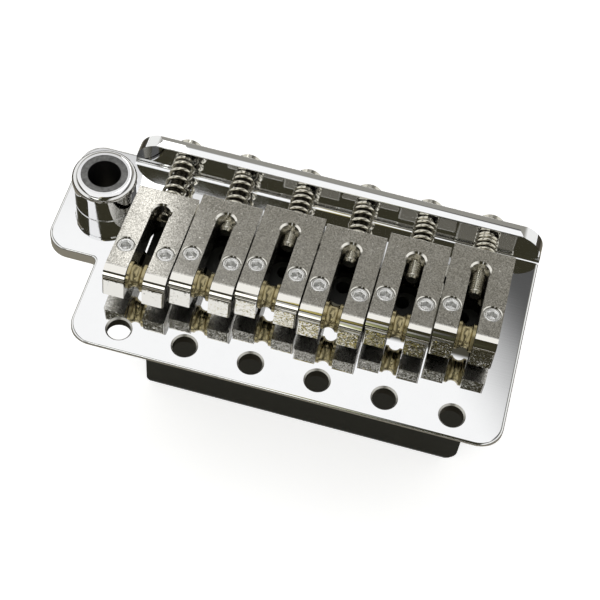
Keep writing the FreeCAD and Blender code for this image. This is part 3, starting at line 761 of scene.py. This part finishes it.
def bright_steel(name, low, high, marks, roughness, strength):
    """Plated steel: a cloudy colour between two, and tool marks, so many to the metre along each axis, in
    roughness and bump."""
    finish = Finish(name, Metallic=1.0)
    lines = finish.noise(marks, detail=4.0)
    finish.feed("Base Color", finish.mix(finish.noise(CLOUDS_PER_METRE, detail=3.0), low, high))
    finish.feed("Roughness", finish.ramp(lines, MIDDLE_SPAN, (SMOOTHEST * roughness, ROUGHEST * roughness)))
    finish.feed("Normal", finish.bump(lines, strength, MARK_HEIGHT))
    return finish


steels = {name: bright_steel(name, **look) for name, look in STEELS.items()}
screw_steel = steels["screw_steel"]
# Painted shade: the long screws' threads are darkened where the springs hide them.
lay_colour(screw_steel, screw_steel.add("ShaderNodeAttribute", attribute_name="oil").outputs["Fac"], PAINTED_SPRING_SHADE)
coat(screw_steel, [nodes[name] for name in ("block_screws", "collar_washer", "collar_nut")])
coat(screw_steel, six("roller_pin") + long_screws)
coat(steels["roller_polish"], six("string_roller"))
coat(steels["spring_steel"], springs)
coat(steels["grub_chrome"], set_screws)
print("steel finishes:", list(steels))

# %% [markdown]
# ## Black block
# The block is die-cast and painted satin black. Sprayed paint dries with a fine orange peel, far too
# shallow to model, which two sizes of noise give as bump. Dust makes it a little paler and duller in clouds.

# %% Paint for the block
BLACK_PAINT = (0.012, 0.0127, 0.0101)
DUSTY_PAINT = (0.018, 0.0189, 0.0155)
PAINT_ROUGHNESS = (0.36, 0.5)
DUST_PER_METRE = 180.0
COARSE_PER_METRE = 900.0
COARSE_HEIGHT = 0.05 * MM
COARSE_STRENGTH = 0.25
FINE_PER_METRE = 4200.0
FINE_HEIGHT = 0.02 * MM
FINE_STRENGTH = 0.2


def sprayed_black():
    """Satin paint: orange peel from two sizes of noise, and a dusty haze in the colour and roughness."""
    finish = Finish("block_paint", IOR=1.5)
    dust = finish.noise(DUST_PER_METRE, detail=6.0, roughness=0.65)
    finish.feed("Base Color", finish.mix(dust, BLACK_PAINT, DUSTY_PAINT))
    finish.feed("Roughness", finish.ramp(dust, MIDDLE_SPAN, PAINT_ROUGHNESS))
    coarse = finish.bump(finish.noise(COARSE_PER_METRE), COARSE_STRENGTH, COARSE_HEIGHT)
    finish.feed("Normal", finish.bump(finish.noise(FINE_PER_METRE), FINE_STRENGTH, FINE_HEIGHT, coarse))
    return finish


coat(sprayed_black(), [nodes["sustain_block"]])
print("paint on:", "sustain_block")

# %% [markdown]
# ## Grey sleeve
# The sleeve in the arm's socket is a machined engineering plastic: matt, mid-grey, with faint rings from
# the lathe. A wave texture draws the rings about the sleeve's own axis. The bore is painted black as the
# shade inside it, and the distance from that axis tells it from the grey face.

# %% Plastic for the sleeve
PAINTED_BORE_SHADE = (0.004, 0.004, 0.004)
SLEEVE_GREY = (0.28, 0.28, 0.274)
BORE_RADIUS = 2.8 * MM
BORE_EDGE = (BORE_RADIUS + 0.02 * MM, BORE_RADIUS + 0.1 * MM)
MOTTLE_PER_METRE = 1500.0
RING_SCALE = 900.0
RING_ROUGHNESS = (0.42, 0.56)
RING_HEIGHT = 0.02 * MM
RING_STRENGTH = 0.12
LEVEL = (1, 1, 0)


def turned_plastic():
    """Machined plastic: a mottled grey with lathe rings about the sleeve's own axis and a bore painted black as
    shade.
    """
    finish = Finish("bushing_plastic", IOR=1.48)
    foot = measure("arm_bushing", [0, 0, 1])[0]
    centre = finish.vector("SUBTRACT", finish.place, foot)
    inputs = {"Vector": centre, "Scale": RING_SCALE, "Distortion": 0.6, "Detail": 2.0}
    rings = finish.add("ShaderNodeTexWave", inputs, wave_type="RINGS", rings_direction="Z").outputs["Fac"]
    radius = finish.vector("LENGTH", finish.vector("MULTIPLY", centre, LEVEL))
    mottle_and_bore_shade = finish.times(finish.noise(MOTTLE_PER_METRE, detail=4.0), finish.ramp(radius, BORE_EDGE))
    # Painted shade: the bore is coloured black as the shade inside it.
    finish.feed("Base Color", finish.mix(mottle_and_bore_shade, PAINTED_BORE_SHADE, SLEEVE_GREY))
    finish.feed("Roughness", finish.ramp(rings, WHOLE, RING_ROUGHNESS))
    finish.feed("Normal", finish.bump(rings, RING_STRENGTH, RING_HEIGHT))
    return finish


coat(turned_plastic(), [nodes["arm_bushing"]])
print("plastic on:", "arm_bushing")

# %% [markdown]
# ## The hood
# Chrome shows its surroundings, so the surroundings are the light. A picture of a room could be put round
# the bridge, but plain sheets let each face of the metal be given what it mirrors. A dark hood stands round
# the table, as a photographer's tent does, and rolled edges and noses show it as dark lines. It pales
# towards the rear, where the saddles' tops look, and is bright at its sides and low at the back, so that
# the metal is bright from other sides too. The camera doesn't see the hood, only what it does in the metal,
# and the white world beyond.

# %% Put up the hood
HOOD_RADIUS = 4.0
POLE_GAP = 0.001
DARK_CLOTH = (0.031, 0.028, 0.0145)
PALE_CLOTH = (0.29, 0.281, 0.252)
BACKDROP = (0.9, 0.9, 0.88)
REAR_PALES = HOOD_RADIUS * np.array([0.15, 0.62])
BAND_TOP = HOOD_RADIUS * np.array([0.24, 0.36])
BAND_FRONT = HOOD_RADIUS * np.array([-0.55, -0.25])
FLANK_START = HOOD_RADIUS * np.array([0.36, 0.58])
FLANK_TOP = HOOD_RADIUS * np.array([0.55, 0.78])
BLACK = (0.0, 0.0, 0.0, 1)
WHITE = (1, 1, 1, 1)


def stage_sheet(name, points, faces, finish, *hidden_from):
    """A piece of the studio, which isn't part of the bridge, hidden from some kinds of ray."""
    mesh = bpy.data.meshes.new(name)
    mesh.from_pydata(np.asarray(points).tolist(), [], faces)
    mesh.materials.append(finish.material)
    sheet = bpy.data.objects.new(name, mesh)
    bpy.context.scene.collection.objects.link(sheet)
    for kind in hidden_from:
        setattr(sheet, f"visible_{kind}", False)


def sphere_grid(radius, rows=48, columns=96):
    """Points and quads of a sphere: the angle from the top runs along the rows, and the turn along the
    columns. The sine of the angle is the reach, and its cosine the rise."""
    off = np.linspace(POLE_GAP, math.pi - POLE_GAP, rows)[:, None]
    turn = np.linspace(0, TURN, columns, endpoint=False)
    reach = np.sin(off)
    rise = np.cos(off) + 0 * turn
    points = radius * np.stack([reach * np.cos(turn), reach * np.sin(turn), rise], axis=-1)
    return points.reshape(-1, 3), ring_quads(rows, columns).tolist()


def hood_cloth():
    """Glowing cloth: dark to pale along Y, and bright where a low band at the sides and the back, or a
    flank, says so."""
    cloth = Finish("hood_cloth", Roughness=1.0, Base_Color=BLACK, Emission_Strength=1.0)
    x, y, z = [cloth.axis(cloth.place, name) for name in "XYZ"]
    plain = cloth.mix(cloth.ramp(y, REAR_PALES), DARK_CLOTH, PALE_CLOTH)
    band = cloth.times(cloth.ramp(z, BAND_TOP, (1.0, 0.0)), cloth.ramp(y, BAND_FRONT))
    aside = cloth.ramp(cloth.math("ABSOLUTE", x), FLANK_START)
    flank = cloth.times(aside, cloth.ramp(z, FLANK_TOP, (1.0, 0.0)))
    cloth.feed("Emission Color", cloth.mix(cloth.math("MAXIMUM", band, flank), plain, BACKDROP))
    return cloth


world = bpy.data.worlds.new("white_room")
bpy.context.scene.world = world
world.use_nodes = True
world.node_tree.nodes["Background"].inputs["Color"].default_value = WHITE
world.node_tree.nodes["Background"].inputs["Strength"].default_value = 1.0
stage_sheet("dark_hood", *sphere_grid(HOOD_RADIUS), hood_cloth(), "camera")
print("hood radius in m:", HOOD_RADIUS)

# %% [markdown]
# ## The soft box
# The plate looks up into a soft box and turns white. The soft box is cut at a slant and fades at its right
# and rear edges, so that the plate's right end and the last saddles look past it. Its corners are given as
# slopes, sideways and rearward for one up, because a mirror sees directions and not places.

# %% Hang the soft box
BOX_HEIGHT = 0.9
BOX_SLOPES = [(1.02, -0.05), (0.2, 0.95), (-0.62, 0.95), (-0.62, -0.68), (-0.14, -0.68), (-0.07, -0.24)]
BOX_SLANT = (0.794, 0.608, 0.0)
BOX_RIGHT_FADE = BOX_HEIGHT * np.array([0.42, 0.54])
BOX_RIGHT_GLOW = (1.0, 0.1)
BOX_REAR_FADE = BOX_HEIGHT * np.array([0.66, 0.95])
BOX_REAR_GLOW = (1.0, 0.28)


def bright_panel(name, slopes, finish, height=BOX_HEIGHT):
    """A glowing panel overhead, whose corners are slopes times its height."""
    corners = np.column_stack([slopes, np.ones(len(slopes))]) * height
    stage_sheet(name, corners, [list(range(len(corners)))], finish, "camera")
    return corners


def soft_box_silk():
    """White silk whose glow falls off along the slant and towards the rear, as a product of two steps."""
    silk = Finish("soft_box_silk", Roughness=1.0, Base_Color=BLACK, Emission_Color=WHITE)
    slant = silk.vector("DOT_PRODUCT", silk.place, BOX_SLANT)
    right = silk.ramp(slant, BOX_RIGHT_FADE, BOX_RIGHT_GLOW)
    rear = silk.ramp(silk.axis(silk.place, "Y"), BOX_REAR_FADE, BOX_REAR_GLOW)
    silk.feed("Emission Strength", silk.times(right, rear))
    return silk


box_corners = bright_panel("soft_box", BOX_SLOPES, soft_box_silk())
print("soft box corners in mm:", (box_corners / MM).round().tolist())

# %% [markdown]
# ## Panels in front
# Beside the soft box a gold panel, which darkens to the right, gives the right saddles' fronts their golden
# glitter. Two panels lower in front, a grey one and a white one that fades to olive, light the saddles'
# mirror images in the plate. Lamps could do it, but a panel can fade from left to right, as the row of
# saddles does.

# %% Hang the panels
GOLD_SLOPES = [(-0.17, -0.6), (0.09, -0.6), (0.09, -0.27), (-0.17, -0.27)]
GOLD_HEIGHT = 1.01 * BOX_HEIGHT
GOLD = (0.55, 0.47, 0.14)
GOLD_FADE = BOX_HEIGHT * np.array([-0.12, 0.02])
GOLD_GLOW = (1.0, 0.04)
GREY_SLOPES = [(-0.17, -1.28), (0.06, -1.28), (0.06, -0.8), (-0.17, -0.8)]
GREY = (1.0, 1.0, 0.98)
GREY_FADE = BOX_HEIGHT * np.array([-0.02, 0.05])
GREY_GLOW = (0.5, 0.08)
FRONT_SLOPES = [(-0.9, -3.5), (0.12, -3.5), (0.12, -1.3), (-0.9, -1.3)]
CREAM = (1.0, 1.0, 0.96)
OLIVE = (0.42, 0.44, 0.2)
OLIVE_FADE = BOX_HEIGHT * np.array([-0.17, -0.06])
FRONT_FADE = BOX_HEIGHT * np.array([-0.17, 0.04])
FRONT_GLOW = (1.5, 0.1)


def side_silk(name, colour, fade, glow):
    """Silk of one colour, whose glow goes from one strength at the left to another at the right."""
    silk = Finish(name, Roughness=1.0, Base_Color=BLACK, Emission_Color=(*colour, 1))
    silk.feed("Emission Strength", silk.ramp(silk.axis(silk.place, "X"), fade, glow))
    return silk


front_silk = side_silk("front_silk", CREAM, FRONT_FADE, FRONT_GLOW)
olive_share = front_silk.ramp(front_silk.axis(front_silk.place, "X"), OLIVE_FADE)
front_silk.feed("Emission Color", front_silk.mix(olive_share, CREAM, OLIVE))
bright_panel("front_panel", FRONT_SLOPES, front_silk)
bright_panel("gold_panel", GOLD_SLOPES, side_silk("gold_silk", GOLD, GOLD_FADE, GOLD_GLOW), GOLD_HEIGHT)
bright_panel("grey_panel", GREY_SLOPES, side_silk("grey_silk", GREY, GREY_FADE, GREY_GLOW))
print("panels:", ["front_panel", "gold_panel", "grey_panel"])

# %% [markdown]
# ## The floor
# The bridge stands on its block on pale paper. More lamps could make it white, but they would wash out the
# bridge too. The paper's own colour and some glow, for the camera and for reflections, do it instead, and
# the paper keeps the bridge's soft shadow.

# %% Lay the paper
FLOOR_HALF = 1.9
PAPER_GLOW = 0.5
PAPER = (0.9, 0.9, 0.9)
PALE_PAPER = (0.93, 0.93, 0.93)
PAPER_CLOUDS_PER_METRE = 40.0


def floor_paper():
    """Matt paper with a faint cloudiness, which glows where a camera, glossy or transmission ray meets it."""
    paper = Finish("floor_paper", Roughness=0.9, Emission_Color=WHITE)
    clouds = paper.noise(PAPER_CLOUDS_PER_METRE, detail=3.0)
    paper.feed("Base Color", paper.mix(clouds, PAPER, PALE_PAPER))
    path = paper.add("ShaderNodeLightPath").outputs
    mirrored = paper.math("MAXIMUM", path["Is Glossy Ray"], path["Is Transmission Ray"])
    seen = paper.math("MAXIMUM", path["Is Camera Ray"], mirrored)
    paper.feed("Emission Strength", paper.times(seen, PAPER_GLOW))
    return paper


square = np.array([(-1, -1, 0), (1, -1, 0), (1, 1, 0), (-1, 1, 0)]) * FLOOR_HALF
stage_sheet("pale_floor", square + np.array([0, 0, cad_low.z]), [[0, 1, 2, 3]], floor_paper())
print("floor at", round(cad_low.z / MM, 2), "mm")

# %% [markdown]
# A card lies on the paper under the bridge, and only reflections see it: a painted reflection of the floor
# in the bridge's shade, so that collar and noses don't turn white from below, beige near the bridge and
# brown further off.

# %% Lay the card
CARD_RADIUS = 0.6
CARD_SIDES = 64
CARD_LIFT = 1 * MM
CARD_MIDDLE = 15 * MM
# Painted reflection of the floor in shade: beige near the bridge, dark brown further off.
NEAR_REFLECTED_SHADE = (0.3, 0.275, 0.22)
FAR_REFLECTED_SHADE = (0.036, 0.027, 0.015)
REFLECTED_SHADE_FADE = (0.08, 0.16)


def reflected_shade_felt():
    """Painted shade for reflections: one colour that goes to another with the distance from the bridge."""
    shade_finish = Finish("reflected_shade_felt", Roughness=1.0)
    away = shade_finish.vector("LENGTH", shade_finish.place)
    shade_finish.feed("Base Color", shade_finish.mix(shade_finish.ramp(away, REFLECTED_SHADE_FADE), NEAR_REFLECTED_SHADE, FAR_REFLECTED_SHADE))
    return shade_finish


rim_turn = np.linspace(0, TURN, CARD_SIDES, endpoint=False)
rim_points = np.column_stack([np.cos(rim_turn), np.sin(rim_turn), 0 * rim_turn]) * CARD_RADIUS
card_place = np.array([0, CARD_MIDDLE, cad_low.z + CARD_LIFT])
unseen_by = ("camera", "diffuse", "shadow", "transmission")
stage_sheet("reflected_shade_card", rim_points + card_place, [list(range(CARD_SIDES))], reflected_shade_felt(), *unseen_by)
print("card radius in mm:", CARD_RADIUS / MM)

# %% [markdown]
# ## Lamps
# One small soft lamp near the left rear gives the first saddle its bright top. A large one in front and
# above brings the paint, the plastic and the floor to a plain level, at which a colour looks about as it is
# written. It is left out of reflections, so that the chrome shows the soft box and hood alone.

# %% Hang the lamps
REAR_LAMP_OFFSET = np.array([-13.5, 45.0, 41.5]) * MM
REAR_LAMP_SIZE = (9 * MM, 32 * MM)
REAR_LAMP_WATTS = 0.00125
FILL_LAMP_PLACE = np.array([0.1, -0.6, 0.7])
FILL_LAMP_SIZE = (0.5, 0.5)
FILL_LAMP_WATTS = 2.6


def placed(right, up, back, place):
    """The matrix of an object with these axes at a place."""
    return Matrix(np.vstack([np.column_stack([right, up, back, place]), [0, 0, 0, 1]]).tolist())


def soft_lamp(name, place, target, size, watts):
    """A lamp with a flat front at a place, turned to a target."""
    lamp = bpy.data.lights.new(name, "AREA")
    lamp.shape = "RECTANGLE"
    lamp.size, lamp.size_y = size
    lamp.energy = watts
    holder = bpy.data.objects.new(name, lamp)
    back, right, up = side_axes(place - target)
    holder.matrix_world = placed(right, up, back, place)
    holder.visible_camera = False
    bpy.context.scene.collection.objects.link(holder)
    return holder


first_saddle = mesh_points(nodes["saddle_1"].data).mean(axis=0)
rear = soft_lamp("rear_lamp", first_saddle + REAR_LAMP_OFFSET, first_saddle, REAR_LAMP_SIZE, REAR_LAMP_WATTS)
fill = soft_lamp("fill_lamp", FILL_LAMP_PLACE, np.zeros(3), FILL_LAMP_SIZE, FILL_LAMP_WATTS)
fill.visible_glossy = False
print("lamps:", [lamp.name for lamp in (rear, fill)])

# %% [markdown]
# ## The camera
# The camera stands in front and above, a little to the right, with a long lens and a slight roll, so that
# the hole row rises to the left as in the photograph. It could be placed by eye, but these values were
# fitted to the hole row, the plate's edges and the collar.

# %% Set the camera
AZIMUTH = math.radians(8.701)
ELEVATION = math.radians(56.759)
ROLL = math.radians(7.075)
CAMERA_PLACE = np.array([19.487, -119.489, 206.318]) * MM
LENS = 88.39
SENSOR = 36.0
CLIP = (0.01, 10.0)

back = np.array([
    math.sin(AZIMUTH) * math.cos(ELEVATION),
    -math.cos(AZIMUTH) * math.cos(ELEVATION),
    math.sin(ELEVATION),
])
level = np.array([math.cos(AZIMUTH), math.sin(AZIMUTH), 0.0])
rise = np.cross(back, level)
right = math.cos(ROLL) * level + math.sin(ROLL) * rise
up = -math.sin(ROLL) * level + math.cos(ROLL) * rise
camera = bpy.data.objects.new("camera", bpy.data.cameras.new("camera"))
camera.data.lens = LENS
camera.data.sensor_width = SENSOR
camera.data.sensor_fit = "HORIZONTAL"
camera.data.clip_start, camera.data.clip_end = CLIP
camera.matrix_world = placed(right, up, back, CAMERA_PLACE)
bpy.context.scene.collection.objects.link(camera)
bpy.context.scene.camera = camera
bpy.context.scene.view_settings.view_transform = "Standard"
print("camera at mm", [round(v, 1) for v in CAMERA_PLACE / MM])

# %% [markdown]
